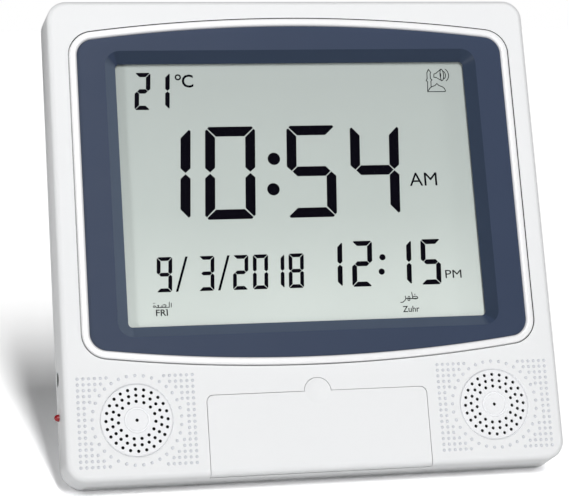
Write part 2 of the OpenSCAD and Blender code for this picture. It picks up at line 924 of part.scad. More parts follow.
module grille(x) {
    color("white")
        placed()
            translate([x, speaker_v, 0])
                difference() {
                    union() {
                        cylinder(h = grille_t, r = grille_r);
                        translate([0, 0, grille_t / 2])
                            cylinder(h = wall + 0.1 - grille_t / 2, r = grille_r - 1.2);
                    }
                    for (ring = [0:2], i = [0:ring_holes[ring] - 1])
                        rotate([0, 0, 90 + 360 * i / ring_holes[ring]])
                            translate([hole_ring_r - ring * hole_ring_step, 0, -eps])
                                cylinder(h = wall + 1, r = sound_hole_r, $fn = 16);
                    translate([0, 0, -eps])
                        cylinder(h = wall + 1, r = 1.15 * sound_hole_r, $fn = 16);
                    // a fine groove sets off the disc in the middle
                    translate([0, 0, -eps])
                        difference() {
                            cylinder(h = eps + 0.2, r = grille_disc_r);
                            translate([0, 0, -eps])
                                cylinder(h = 2, r = grille_disc_r - 0.35);
                        }
                }
}

module grille_left() { grille(-speaker_x); }
module grille_right() { grille(speaker_x); }

module revolved_at(x, points) {
    translate([x, speaker_v, wall + 0.1])
        rotate_extrude()
            polygon(points);
}

module speaker_frame(x) {
    r = speaker_r;
    back = speaker_depth - 7;
    color([0.25, 0.25, 0.27])
        placed()
            revolved_at(x, [
                [r - 2.4, 0], [r, 0], [r, 1.6], [r - 2, 2.2], [11.5, back + 0.8], [4.2, back + 0.8],
                [4.2, back], [10.8, back], [r - 3.2, 1.6], [r - 3.2, 1.2], [r - 2.4, 1.2]
            ]);
}

module speaker_cone(x) {
    r = speaker_r;
    color([0.1, 0.1, 0.11])
        placed()
            revolved_at(x, [
                [0, 1.5], [2.5, 1.8], [4.4, 2.8], [5, 3.2], [13, 1.1], [15, 0.4], [r - 2.6, 0.5],
                [r - 2.6, 1], [15, 1], [13, 1.7], [4, 4], [4, 5.3], [3.4, 5.3], [3.4, 3.4], [0, 2.1]
            ]);
}

module speaker_magnet(x) {
    back = speaker_depth - 7;
    color([0.3, 0.3, 0.32])
        placed()
            revolved_at(x, [
                [0, back + 0.2], [2.9, back + 0.2], [2.9, back + 0.85], [11, back + 0.85],
                [11, speaker_depth - 0.5], [10.5, speaker_depth], [0, speaker_depth]
            ]);
}

module speaker_frame_left() { speaker_frame(-speaker_x); }
module speaker_frame_right() { speaker_frame(speaker_x); }
module speaker_cone_left() { speaker_cone(-speaker_x); }
module speaker_cone_right() { speaker_cone(speaker_x); }
module speaker_magnet_left() { speaker_magnet(-speaker_x); }
module speaker_magnet_right() { speaker_magnet(speaker_x); }

// ---- the key door and the keys ----

module key_door() {
    dish_r = tab_r - 0.5;
    dish_h = 0.45;
    dish_sphere = (dish_r ^ 2 + dish_h ^ 2) / (2 * dish_h);
    color("white")
        placed() {
            difference() {
                union() {
                    intersection() {
                        linear_extrude(20)
                            door_outline(0);
                        translate([-door_w, 0, 0])
                            rotate([90, 0, 90])
                                linear_extrude(2 * door_w)
                                    difference() {
                                        union() {
                                            translate([door_axis, 0])
                                                square([2 * door_h, door_t]);
                                            translate([door_axis, door_axis])
                                                circle(door_axis);
                                            translate([0, door_axis])
                                                square([door_t, door_skirt]);
                                        }
                                        translate([door_axis, door_axis])
                                            circle(door_axis - door_t);
                                        translate([door_axis, door_t])
                                            square([2 * door_h, 10]);
                                        translate([door_t, door_axis])
                                            square([10, 10]);
                                    }
                    }
                    for (s = [-1, 1])
                        translate([s * (door_w / 2 - 1.2) - 1.2, door_axis, door_axis])
                            rotate([0, 90, 0])
                                cylinder(h = 2.4, r = door_axis - 0.15);
                }
                translate([0, door_h, dish_h - dish_sphere])
                    sphere(dish_sphere, $fn = 96);
            }
            for (s = [-1, 1])
                translate([s * (door_w / 2 - 0.05) - 1.95, door_axis, door_axis])
                    rotate([0, 90, 0])
                        cylinder(h = 3.9, r = door_pin_r);
        }
}

module key(i) {
    color([0.85, 0.86, 0.88])
        placed()
            translate([key_xs[(i - 1) % 4], key_vs[floor((i - 1) / 4)], 0]) {
                translate([0, 0, key_top_d])
                    linear_extrude(key_flange_d - key_top_d + 0.2)
                        key_shape(0);
                translate([0, 0, key_flange_d])
                    linear_extrude(key_flange_t)
                        key_shape(key_flange);
            }
}

module key_1() { key(1); }
module key_2() { key(2); }
module key_3() { key(3); }
module key_4() { key(4); }
module key_5() { key(5); }
module key_6() { key(6); }
module key_7() { key(7); }
module key_8() { key(8); }

// ---- the left side ----

module red_button() {
    color([0.6, 0.08, 0.08])
        placed()
            from_left(red_v, red_d) {
                translate([0, 0, red_r - red_proud])
                    cylinder(h = wall + red_proud - red_r + side_gap + 0.9, r = red_r);
                translate([0, 0, red_r - red_proud])
                    sphere(red_r);
                translate([0, 0, wall + side_gap])
                    cylinder(h = 1, r = red_r + 0.8);
            }
}

module red_switch() {
    face = wall + side_gap + 1 + red_travel + 0.15;
    color([0.2, 0.2, 0.22])
        placed()
            from_left(red_v, red_d) {
                translate([0, 0, face])
                    cylinder(h = 2, r = 1.2);
                translate([0, 0, face + 1])
                    slab(6, 6, side_board_x - side_x - face - 1, 0.5);
            }
}

module side_board() {
    color([0.1, 0.35, 0.2])
        placed()
            from_left((socket_v + red_v) / 2, side_board_d)
                translate([0, 0, side_board_x - side_x])
                    slab(side_board_w, socket_v - red_v + 12, board_t, 1);
}

module power_socket() {
    color([0.1, 0.1, 0.11])
        placed()
            from_left(socket_v, socket_d)
                translate([0, 0, wall + side_gap])
                    difference() {
                        slab(9, 9, side_board_x - side_x - wall - side_gap, 0.6);
                        translate([0, 0, -eps])
                            cylinder(h = 9 + eps, r = 2.85);
                    }
}

module socket_pin() {
    color("silver")
        placed()
            from_left(socket_v, socket_d)
                translate([0, 0, wall + side_gap + 1.1])
                    cylinder(h = 7.4, r = socket_pin_r);
}

// ---- the back ----

// the stand as it lies folded in its recess
module folded_stand() {
    mid_v = stand_v - stand_len / 2;
    difference() {
        union() {
            // nothing of the plate stands past the knuckle
            difference() {
                translate([0, mid_v + 4, stand_d])
                    linear_extrude(stand_t)
                        rounded_rect(stand_w, stand_len + 8, 7);
                translate([-stand_w, stand_v, stand_d - eps])
                    cube([2 * stand_w, 20, 20]);
            }
            translate([-stand_w / 2, stand_v, stand_axis_d])
                rotate([0, 90, 0])
                    cylinder(h = stand_w, r = knuckle_r);
            translate([-(stand_w / 2 + 2.7), stand_v, stand_axis_d])
                rotate([0, 90, 0])
                    cylinder(h = stand_w + 5.4, r = stand_pin_r);
        }
        // a window lightens the plate
        translate([0, (stand_foot_v + stand_foot_h + stand_v - stand_rim) / 2, stand_d - eps])
            slab(stand_w - 2 * stand_rim, stand_len - stand_foot_h - stand_rim, stand_t + 2 * eps, 6);
        // a shallow finger scoop by the foot
        translate([0, stand_foot_v + 12, stand_d + stand_t + 16.8])
            rotate([0, 90, 0])
                cylinder(h = 26, r = 18, center = true);
    }
}

module stand() {
    color("whitesmoke")
        difference() {
            placed()
                translate([0, stand_v, stand_axis_d])
                    rotate([-stand_open, 0, 0])
                        translate([0, -stand_v, -stand_axis_d])
                            folded_stand();
            translate([-case_w, -case_h, -20])
                cube([2 * case_w, 2 * case_h, 20]);
        }
}

module battery_door() {
    reach = tray_half_l + door_lap;
    top = battery_v + tray_half_h + door_lap;
    color("whitesmoke")
        placed() {
            translate([-reach, battery_axis_v, case_d - battery_door_t])
                cube([2 * reach, top - battery_axis_v, battery_door_t]);
            battery_hinge(reach, battery_door_t / 2);
            battery_hinge(reach + 1.6, battery_pin_r);
        }
}

module at_cells() {
    for (i = [0:cell_count - 1])
        translate([0, battery_v + (i - (cell_count - 1) / 2) * cell_pitch, cell_d])
            mirror([i % 2, 0, 0])
                children();
}

module battery_cells() {
    color([0.2, 0.22, 0.26])
        placed()
            at_cells()
                translate([cell_shift - cell_l / 2, 0, 0])
                    rotate([0, 90, 0]) {
                        cylinder(h = cell_l, r = cell_r);
                        translate([0, 0, cell_l])
                            cylinder(h = button_l, r = 2.6);
                    }
}

// a bowed leaf presses on the flat end of each cell
module spring_contacts() {
    bow = contact_room + cell_shift - 0.1 - 0.3;
    color("silver")
        placed()
            at_cells()
                translate([-tray_half_l + 0.1, 0, 0]) {
                    translate([0, -5, -bow])
                        cube([contact_t, 10, 2 * bow]);
                    rotate([90, 0, 0])
                        translate([0, 0, -3])
                            rotate([0, 0, -90])
                                rotate_extrude(angle = 180)
                                    translate([bow - contact_t, 0])
                                        square([contact_t, 6]);
                }
}

module plate_contacts() {
    color("silver")
        placed()
            at_cells()
                translate([tray_half_l - 0.1 - contact_t, -5, -6])
                    cube([contact_t, 10, 12]);
}

front_case();
rear_cover();
trim_ring();
bezel();
display_lens();
lcd_panel();
backlight_panel();
lcd_holder();
connector_strip();
main_board();
clock_chip();
sound_chip();
quartz_crystal();
capacitors();
temperature_sensor();
holder_screws();
grille_left();
grille_right();
speaker_frame_left();
speaker_frame_right();
speaker_cone_left();
speaker_cone_right();
speaker_magnet_left();
speaker_magnet_right();
key_door();
key_1();
key_2();
key_3();
key_4();
key_5();
key_6();
key_7();
key_8();
key_board();
key_switches();
red_button();
red_switch();
side_board();
power_socket();
socket_pin();
stand();
battery_door();
battery_cells();
spring_contacts();
plate_contacts();
case_screws();
board_screws();
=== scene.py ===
import math

import bmesh
import bpy
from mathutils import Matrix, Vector


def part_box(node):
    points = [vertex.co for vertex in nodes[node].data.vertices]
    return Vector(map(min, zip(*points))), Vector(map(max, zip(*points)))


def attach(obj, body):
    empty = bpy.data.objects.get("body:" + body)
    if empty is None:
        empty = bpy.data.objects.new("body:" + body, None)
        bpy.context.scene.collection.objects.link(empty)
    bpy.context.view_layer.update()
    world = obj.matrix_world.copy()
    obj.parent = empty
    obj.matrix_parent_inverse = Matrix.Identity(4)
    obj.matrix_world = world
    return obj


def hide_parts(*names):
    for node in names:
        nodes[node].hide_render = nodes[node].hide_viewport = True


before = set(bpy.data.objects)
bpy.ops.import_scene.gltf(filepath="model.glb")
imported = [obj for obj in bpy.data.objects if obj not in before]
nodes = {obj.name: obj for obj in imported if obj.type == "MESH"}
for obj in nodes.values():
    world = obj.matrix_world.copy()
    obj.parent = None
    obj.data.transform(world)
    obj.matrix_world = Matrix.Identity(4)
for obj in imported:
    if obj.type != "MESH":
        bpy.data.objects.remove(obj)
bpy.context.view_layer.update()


# ---------------------------------------------------------------- front shell
# The white front moulding: injection moulded ABS with a lightly sparked skin, leaning back on
# its stand. Rows of shallow dimples are moulded into the face round each speaker, and one more
# ring of them follows the grille. The edge steps back a little where it meets the rear cover.

lean = math.radians(20.5)
window_v, window_d = 128.7, 5.8        # the window's middle: mm up the face and into it
lens_low, lens_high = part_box("display_lens")
lens_middle = (lens_low + lens_high) / 2


def on_case(x, v, d):
    """A place on the clock: mm from its middle, up its face and into it, from the face's foot."""
    up, deep = v - window_v, d - window_d
    return lens_middle + Vector((
        x,
        up * math.sin(lean) + deep * math.cos(lean),
        up * math.cos(lean) - deep * math.sin(lean),
    )) / 1000


def colour(red, green, blue):
    """A colour as it is seen on a screen, 0 to 255, in the renderer's own linear values."""
    linear = []
    for part in (red, green, blue):
        part /= 255
        linear.append(part / 12.92 if part <= 0.04045 else ((part + 0.055) / 1.055) ** 2.4)
    return (*linear, 1.0)


def new_material(name):
    """A material, with its node tree and its shader."""
    material = bpy.data.materials.new(name)
    material.use_nodes = True
    return material, material.node_tree, material.node_tree.nodes["Principled BSDF"]


def node_at(tree, kind, x, y, **settings):
    node = tree.nodes.new(kind)
    node.location = (x, y)
    for name, value in settings.items():
        setattr(node, name, value)
    return node


def noise_at(tree, place, x, y, scale, detail=2):
    """A noise that stays on the piece, with about scale patches to the metre."""
    noise = node_at(tree, "ShaderNodeTexNoise", x, y)
    noise.inputs["Scale"].default_value = scale
    noise.inputs["Detail"].default_value = detail
    tree.links.new(place.outputs["Object"], noise.inputs["Vector"])
    return noise


def moulded(name, shade, drift=0.03, patch=0.03, rough=0.4, rough_spread=0.05, grain=0.0004,
            relief=0.000008, **sockets):
    """A moulded skin: its colour drifts a little from patch to patch, and it has a fine grain.
    patch, grain and relief are real lengths in metres."""
    material, tree, shader = new_material(name)
    place = node_at(tree, "ShaderNodeTexCoord", -1100, 0)

    clouds = noise_at(tree, place, -850, 300, 1 / patch, detail=3)
    tone = node_at(tree, "ShaderNodeMix", -450, 300, data_type="RGBA")
    tone.inputs["A"].default_value = (*[part * (1 - drift) for part in shade[:3]], 1)
    tone.inputs["B"].default_value = (*[min(part * (1 + drift), 1) for part in shade[:3]], 1)
    tree.links.new(clouds.outputs["Fac"], tone.inputs["Factor"])
    tree.links.new(tone.outputs["Result"], shader.inputs["Base Color"])

    rub = noise_at(tree, place, -850, 0, 4 / patch, detail=4)
    sheen = node_at(tree, "ShaderNodeMapRange", -450, 0)
    sheen.inputs["To Min"].default_value = rough - rough_spread
    sheen.inputs["To Max"].default_value = rough + rough_spread
    tree.links.new(rub.outputs["Fac"], sheen.inputs["Value"])
    tree.links.new(sheen.outputs["Result"], shader.inputs["Roughness"])

    skin = noise_at(tree, place, -850, -300, 1 / grain)
    bump = node_at(tree, "ShaderNodeBump", -450, -300)
    bump.inputs["Strength"].default_value = 1
    bump.inputs["Distance"].default_value = relief
    tree.links.new(skin.outputs["Fac"], bump.inputs["Height"])
    tree.links.new(bump.outputs["Normal"], shader.inputs["Normal"])

    for socket, value in sockets.items():
        shader.inputs[socket.replace("_", " ")].default_value = value
    return material


def in_scene(name, data):
    thing = bpy.data.objects.new(name, data)
    bpy.context.scene.collection.objects.link(thing)
    return thing


def tidy_normals(mesh, smooth_below=30):
    """Turns every face outward; edges sharper than smooth_below degrees stay crisp."""
    weld_gap = 1e-7
    work = bmesh.new()
    work.from_mesh(mesh)
    bmesh.ops.remove_doubles(work, verts=work.verts, dist=weld_gap)
    bmesh.ops.recalc_face_normals(work, faces=work.faces)
    work.to_mesh(mesh)
    work.free()
    mesh.polygons.foreach_set("use_smooth", [True] * len(mesh.polygons))
    mesh.set_sharp_from_angle(angle=math.radians(smooth_below))


def new_piece(name, points, faces, material, smooth_below=30):
    """A mesh piece from points in metres."""
    mesh = bpy.data.meshes.new(name)
    mesh.from_pydata([tuple(p) for p in points], [], faces)
    mesh.validate()
    tidy_normals(mesh, smooth_below)
    mesh.materials.append(material)
    return in_scene(name, mesh)


def circle(x, v, radius, depth, sides):
    """Points round a circle that lies level with the face."""
    turns = [2 * math.pi * side / sides for side in range(sides)]
    return [on_case(x + radius * math.cos(turn), v + radius * math.sin(turn), depth)
            for turn in turns]


def add_plug(points, faces, x, v, rings, sides, tip=None):
    """Adds one round cutter, sunk into the face at x, v, from rings of radius and depth. It ends
    in a point at the depth tip, or flat."""
    first = len(points)
    for radius, depth in rings:
        points.extend(circle(x, v, radius, depth, sides))
    faces.append([first + side for side in range(sides)])
    for ring in range(len(rings) - 1):
        for side in range(sides):
            a = first + ring * sides + side
            b = first + ring * sides + (side + 1) % sides
            faces.append([a, b, b + sides, a + sides])
    last_ring = first + (len(rings) - 1) * sides
    if tip is None:
        faces.append([last_ring + side for side in reversed(range(sides))])
    else:
        points.append(on_case(x, v, tip))
        for side in range(sides):
            faces.append([last_ring + side, last_ring + (side + 1) % sides, len(points) - 1])


def hoop(name, loops, material, smooth_below=30):
    """A closed hoop: loops of points, each as long as the next, skinned right round."""
    points, faces, around = sum(loops, []), [], len(loops[0])
    for loop in range(len(loops)):
        below = (loop + 1) % len(loops)
        for a in range(around):
            b = (a + 1) % around
            faces.append([loop * around + a, loop * around + b, below * around + b,
                          below * around + a])
    return new_piece(name, points, faces, material, smooth_below)


def cut(piece, cutter):
    """Takes the cutter's solid out of the piece and throws the cutter away. The walls of the cut
    keep the cutter's finish."""
    boolean = piece.modifiers.new("cut", "BOOLEAN")
    boolean.operation = "DIFFERENCE"
    boolean.solver = "EXACT"
    boolean.material_mode = "TRANSFER"
    boolean.object = cutter
    bpy.context.view_layer.update()
    graph = bpy.context.evaluated_depsgraph_get()
    result = bpy.data.meshes.new_from_object(piece.evaluated_get(graph))
    piece.modifiers.clear()
    piece.data = result
    bpy.data.objects.remove(cutter)


case_white = moulded("case_white", colour(238, 239, 240), drift=0.012, patch=0.05, rough=0.52,
                     rough_spread=0.05, grain=0.00035, relief=0.000005, Specular_IOR_Level=0.3)
# the dimples' walls take a darker white than the face: painted shade in the small hollows
dimple_painted_shade = moulded("dimple_painted_shade", colour(212, 214, 219), drift=0.02, patch=0.01, rough=0.6,
                       grain=0.0003, relief=0.000005, Specular_IOR_Level=0.2)

speaker_x, speaker_v = 81.0, 26.1
dimple_pitch_x, dimple_pitch_v = 2.527, 2.578
dimple_columns = 21
dimples_in_row = (6, 5, 4, 3, 3, 2, 2, 2, 2, 2, 2, 3, 3, 4, 5, 6)     # on each side, from the top
dimple_rows_drop = 0.34                # from the speaker's middle to the middle of the rows
ring_dimples, ring_of_dimples_r = 33, 19.6
dimple_profile = ((1.02, -0.3), (0.62, 0.16), (0.48, 0.30), (0.25, 0.40))     # radius, depth
dimple_depth = dimple_profile[-1][1] + 0.02
dimple_sides = 12

middle_row, middle_column = (len(dimples_in_row) - 1) / 2, (dimple_columns - 1) / 2
dimple_places = []
for middle_x in (-speaker_x, speaker_x):
    for row, count in enumerate(dimples_in_row):
        v = speaker_v - dimple_rows_drop + (middle_row - row) * dimple_pitch_v
        for column in range(count):
            out = (middle_column - column) * dimple_pitch_x
            dimple_places += [(middle_x - out, v), (middle_x + out, v)]
    for step in range(ring_dimples):
        turn = 2 * math.pi * step / ring_dimples
        dimple_places.append((middle_x + ring_of_dimples_r * math.sin(turn),
                              speaker_v + ring_of_dimples_r * math.cos(turn)))

shell_mesh = nodes["front_case"].data.copy()
shell_mesh.name = "front_shell"
tidy_normals(shell_mesh)
shell_mesh.materials.clear()
shell_mesh.materials.append(case_white)
front_shell = in_scene("front_shell", shell_mesh)

points, faces = [], []
for x, v in dimple_places:
    add_plug(points, faces, x, v, dimple_profile, dimple_sides, dimple_depth)
cut(front_shell, new_piece("dimples", points, faces, dimple_painted_shade))

# a dark line round the case, where the front shell's edge steps back from the rear cover; the
# groove's walls are painted dark, as painted shade in the gap
seam_painted_shade = moulded("seam_painted_shade", colour(30, 31, 36), drift=0.2, patch=0.01, rough=0.8,
                     Specular_IOR_Level=0.1)
edge_half_w, edge_low, edge_high, edge_r = 114.0, -1.5, 220.3, 10.5
edge_steps = 12                        # in each corner
line_top, line_bottom = 19.65, 20.5    # depths; the rear cover fills what lies past 20
line_in, line_clear = 0.9, 1.0         # how far in it reaches, and the cutter's start outside


def case_outline(inset):
    """The outline of the case where its two shells meet."""
    outline = []
    for corner, (sign_x, sign_v) in enumerate(((1, 1), (-1, 1), (-1, -1), (1, -1))):
        x = sign_x * (edge_half_w - edge_r)
        v = edge_high - edge_r if sign_v > 0 else edge_low + edge_r
        for step in range(edge_steps + 1):
            turn = math.pi / 2 * (corner + step / edge_steps)
            outline.append((x + (edge_r - inset) * math.cos(turn),
                            v + (edge_r - inset) * math.sin(turn)))
    return outline


cut(front_shell, hoop("line", [
    [on_case(x, v, depth) for x, v in case_outline(inset)]
    for inset, depth in ((-line_clear, line_top), (line_in, line_top),
                         (line_in, line_bottom), (-line_clear, line_bottom))
], seam_painted_shade))
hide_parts("front_case")
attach(front_shell, "case")


# ------------------------------------------------------------------- speakers
# Two small round speakers stand behind drilled grilles of the same white ABS, whose holes widen
# towards the back, so their walls don't show. The steel basket is painted black, the cone is
# black paper with a rolled edge, and the magnet is a ferrite ring.

grille_white = moulded("grille_white", colour(241, 242, 244), drift=0.01, patch=0.02, rough=0.52,
                       rough_spread=0.04, grain=0.0003, relief=0.000004, Specular_IOR_Level=0.3)
basket_paint = moulded("basket_paint", colour(58, 58, 62), drift=0.15, patch=0.006, rough=0.45,
                       grain=0.0005, relief=0.00001, Metallic=0.3)
cone_paper = moulded("cone_paper", colour(18, 18, 20), drift=0.25, patch=0.002, rough=0.88,
                     rough_spread=0.07, grain=0.0003, relief=0.00003)
ferrite = moulded("ferrite", colour(62, 62, 66), drift=0.12, patch=0.003, rough=0.62,
                  grain=0.0003, relief=0.00002, Metallic=0.2)

grille_r, grille_rim, grille_step_r, grille_back = 15.7, 1.4, 14.5, 2.3
grille_section = [                     # the turned shape: radius, depth
    (0, 0.16), (4.2, 0.14), (4.6, 0.10), (4.9, 0.42), (5.35, 0.44), (5.8, 0.02), (15.0, 0.0),
    (15.45, 0.12), (grille_r, 0.35), (grille_r, grille_rim), (grille_step_r, grille_rim),
    (grille_step_r, grille_back), (0, grille_back),
]
grille_front = 0.01                    # the mean depth of its flat front
countersink = [(0, -0.4), (17.0, -0.4), (16.4, 0.06), (15.82, 0.5), (0, 0.5)]
sound_rings = ((13.56, 24), (10.89, 21), (8.22, 15), (0, 1))     # radius, holes
hole_profile = ((0.74, -0.5), (0.74, 0.45), (1.12, 2.6))
hole_sides = 20


def turned(name, section, x, v, material, sides=96):
    """A turned piece that faces out of the case at x, v, from points of radius and depth."""
    points, faces, rings = [], [], []
    for radius, depth in section:
        if radius == 0:
            rings.append([len(points)] * sides)
            points.append(on_case(x, v, depth))
        else:
            rings.append([len(points) + side for side in range(sides)])
            points += circle(x, v, radius, depth, sides)
    for upper, lower in zip(rings, rings[1:]):
        for a in range(sides):
            b = (a + 1) % sides
            corners = [upper[a], upper[b], lower[b], lower[a]]
            faces.append(list(dict.fromkeys(corners)))
    return new_piece(name, points, faces, material)


def level_face(piece, top):
    """Shades the flat front of a piece as flat, right up to its rounded edges. top is a place on
    that front."""
    flat, nearly_flat, level_with = 0.9999, 0.92, 0.00002
    mesh = piece.data
    inward = on_case(0, 0, 1) - on_case(0, 0, 0)
    inward.normalize()
    normals = [Vector(corner.vector) for corner in mesh.corner_normals]
    for face in mesh.polygons:
        lean_in = face.normal.dot(inward)
        for corner in face.loop_indices:
            at = mesh.vertices[mesh.loops[corner].vertex_index].co
            in_front = abs((at - top).dot(inward)) < level_with
            if abs(lean_in) > flat or (lean_in < -nearly_flat and in_front):
                normals[corner] = inward * math.copysign(1, lean_in)
    mesh.normals_split_custom_set(normals)


def dress(material, *names):
    """Gives carried-over pieces their finish."""
    for name in names:
        slots = nodes[name].data.materials
        slots.clear()
        slots.append(material)


for side_name, x in (("left", -speaker_x), ("right", speaker_x)):
    cut(front_shell, turned("countersink", countersink, x, speaker_v, grille_white))
    grille = turned(f"sound_grille_{side_name}", grille_section, x, speaker_v, grille_white)
    points, faces = [], []
    for ring_r, count in sound_rings:
        for step in range(count):
            turn = math.pi / 2 + 2 * math.pi * step / count
            add_plug(points, faces, x + ring_r * math.cos(turn),
                     speaker_v + ring_r * math.sin(turn), hole_profile, hole_sides)
    cut(grille, new_piece("drill", points, faces, grille_white))
    tidy_normals(grille.data)
    level_face(grille, on_case(x, speaker_v, grille_front))
    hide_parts(f"grille_{side_name}")
    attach(grille, "case")

dress(basket_paint, "speaker_frame_left", "speaker_frame_right")
dress(cone_paper, "speaker_cone_left", "speaker_cone_right")
dress(ferrite, "speaker_magnet_left", "speaker_magnet_right")


# ------------------------------------------------------- trim ring and bezel
# A glossy white ring with a rounded crown frames the display, and a fine groove in the shell
# sets it off; its top and bottom are gently bowed. Inside it the bezel is moulded in navy blue,
# with a slope down to the window. Both are clipped into the front shell from the face.

bow_r, half_w, half_h, corner_r = 733.0, 103.3, 81.0, 11.5
corner_steps, bow_steps = 20, 28

bow_y = bow_r - half_h
corner_x = half_w - corner_r
corner_y = math.sqrt((bow_r - corner_r) ** 2 - corner_x ** 2) - bow_y
corner_turn = math.atan2(corner_y + bow_y, corner_x)


def quarter_of_display(inset):
    around = []
    for step in range(corner_steps + 1):
        turn = corner_turn * step / corner_steps
        around.append((corner_x + (corner_r - inset) * math.cos(turn),
                       corner_y + (corner_r - inset) * math.sin(turn)))
    for step in range(1, bow_steps):
        turn = corner_turn + (math.pi / 2 - corner_turn) * step / bow_steps
        around.append(((bow_r - inset) * math.cos(turn), (bow_r - inset) * math.sin(turn) - bow_y))
    return around


def display_outline(inset):
    quarter = quarter_of_display(inset)
    return (quarter + [(0, half_h - inset)] + [(-x, y) for x, y in reversed(quarter)]
            + [(-x, -y) for x, y in quarter] + [(0, inset - half_h)]
            + [(x, -y) for x, y in reversed(quarter)])


def display_hoop(name, section, material, smooth_below=30):
    """A hoop that runs round the display, from a section of how far in and how deep."""
    return hoop(name, [
        [on_case(x, window_v + y, depth) for x, y in display_outline(inset)]
        for inset, depth in section
    ], material, smooth_below)


trim_gloss = moulded("trim_gloss", colour(250, 250, 251), drift=0.008, patch=0.04, rough=0.2,
                     rough_spread=0.03, grain=0.0006, relief=0.000002, Coat_Weight=0.3)
ring_w, ring_foot, crown_high = 3.5, 1.4, 1.04
crown_at, crown_power = 0.47, 5        # where its top lies across the ring, and how square it is
crown_steps = 16
ring_section = [(0.0, ring_foot)]
for step in range(crown_steps + 1):
    across = step / crown_steps
    slope_w = crown_at if across < crown_at else 1 - crown_at
    fall = (abs(across - crown_at) / slope_w) ** crown_power
    ring_section.append((across * ring_w, -crown_high * max(1 - fall, 0)))
ring_section.append((ring_w, ring_foot))
ring = display_hoop("display_ring", ring_section, trim_gloss, smooth_below=35)
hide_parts("trim_ring")
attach(ring, "case")

# the fine groove round the ring, its walls painted dark as painted shade in the gap
groove_section = ((-0.42, -0.5), (0.8, -0.5), (0.8, 1.2), (-0.42, 1.2))
cut(front_shell, display_hoop("seam", groove_section, seam_painted_shade))
tidy_normals(front_shell.data)
level_face(front_shell, on_case(0, 0, 0))


def ramp_at(tree, x, y, stops):
    """A colour ramp, from stops of position and colour."""
    node = node_at(tree, "ShaderNodeValToRGB", x, y)
    ends = node.color_ramp.elements
    ends[0].position, ends[0].color = stops[0]
    ends[1].position, ends[1].color = stops[-1]
    for position, shade in stops[1:-1]:
        ends.new(position).color = shade
    return node


# painted light: the navy is painted lighter where a surface faces right and up, towards the lamps,
# and darker where it faces down, as on the slope above the window
bezel_navy = moulded("bezel_navy", colour(59, 70, 92), drift=0.05, patch=0.04, rough=0.38,
                     rough_spread=0.04, grain=0.0003, relief=0.000004, Specular_IOR_Level=0.06)
light_from = (0.80, 0.0, 0.60)
flat_painted_tone = (0.95, 0.96, 0.97, 1)
slope_painted_light = ((0.0, (0.76, 0.78, 0.74, 1)), (0.12, flat_painted_tone), (0.30, flat_painted_tone),
                (0.62, (2.3, 2.1, 1.7, 1)))
tree = bezel_navy.node_tree
shader = tree.nodes["Principled BSDF"]
plain = shader.inputs["Base Color"].links[0].from_socket
facing = node_at(tree, "ShaderNodeTexCoord", -1100, 700)
turned_to = node_at(tree, "ShaderNodeVectorMath", -850, 700, operation="DOT_PRODUCT")
turned_to.inputs[1].default_value = light_from
painted_light_ramp = ramp_at(tree, -650, 700, slope_painted_light)
both = node_at(tree, "ShaderNodeMix", -250, 500, data_type="RGBA", blend_type="MULTIPLY")
both.inputs["Factor"].default_value = 1
tree.links.new(facing.outputs["Normal"], turned_to.inputs[0])
tree.links.new(turned_to.outputs["Value"], painted_light_ramp.inputs["Fac"])
tree.links.new(plain, both.inputs["A"])
tree.links.new(painted_light_ramp.outputs["Color"], both.inputs["B"])
tree.links.new(both.outputs["Result"], shader.inputs["Base Color"])
dress(bezel_navy, "bezel")


# -------------------------------------------------------- display and window
# The liquid-crystal panel lies behind a clear acrylic window. Its grey-green ground is a little
# lighter towards the bottom, and its marks are near-black: seven-bar digits, a few small words
# and a line drawing. They are laid just in front of the panel's glass.

ground_low_v, ground_high_v, ground_d = 68, 190, 6
ground_shades = ((0.0, colour(239, 248, 242)), (0.5, colour(208, 218, 213)),
                 (1.0, colour(194, 203, 199)))
haze_per_metre, haze_strength = 18, 0.16
cells_per_metre, cell_relief = 1500, 0.000002

lcd, tree, shader = new_material("lcd_ground")
place = node_at(tree, "ShaderNodeTexCoord", -1300, 0)
split = node_at(tree, "ShaderNodeSeparateXYZ", -1100, 0)
height = node_at(tree, "ShaderNodeMapRange", -900, 0)
height.inputs["From Min"].default_value = on_case(0, ground_low_v, ground_d).z
height.inputs["From Max"].default_value = on_case(0, ground_high_v, ground_d).z
haze = noise_at(tree, place, -900, -300, haze_per_metre)
soften = node_at(tree, "ShaderNodeMath", -700, -150, operation="MULTIPLY_ADD")
soften.inputs[1].default_value = haze_strength
ground = ramp_at(tree, -480, 0, ground_shades)
cell = noise_at(tree, place, -700, -450, cells_per_metre)
fine = node_at(tree, "ShaderNodeBump", -350, -450)
fine.inputs["Distance"].default_value = cell_relief
tree.links.new(place.outputs["Object"], split.inputs["Vector"])
tree.links.new(split.outputs["Z"], height.inputs["Value"])
tree.links.new(haze.outputs["Fac"], soften.inputs[0])
tree.links.new(height.outputs["Result"], soften.inputs[2])
tree.links.new(soften.outputs["Value"], ground.inputs["Fac"])
tree.links.new(cell.outputs["Fac"], fine.inputs["Height"])
tree.links.new(ground.outputs["Color"], shader.inputs["Base Color"])
tree.links.new(fine.outputs["Normal"], shader.inputs["Normal"])
shader.inputs["Roughness"].default_value = 0.55
dress(lcd, "lcd_panel")

mark_front, mark_back = 6.415, 6.44    # depth of the marks, in the gap between window and panel
mark_points, mark_faces = [], []


def mark(outline):
    """One flat dark mark from an outline in mm round the window's middle."""
    first, count = len(mark_points), len(outline)
    for depth in (mark_front, mark_back):
        mark_points.extend(on_case(x, window_v + y, depth) for x, y in outline)
    mark_faces.append([first + i for i in range(count)])
    mark_faces.append([first + count + i for i in reversed(range(count))])
    for i in range(count):
        j = (i + 1) % count
        mark_faces.append([first + j, first + i, first + count + i, first + count + j])


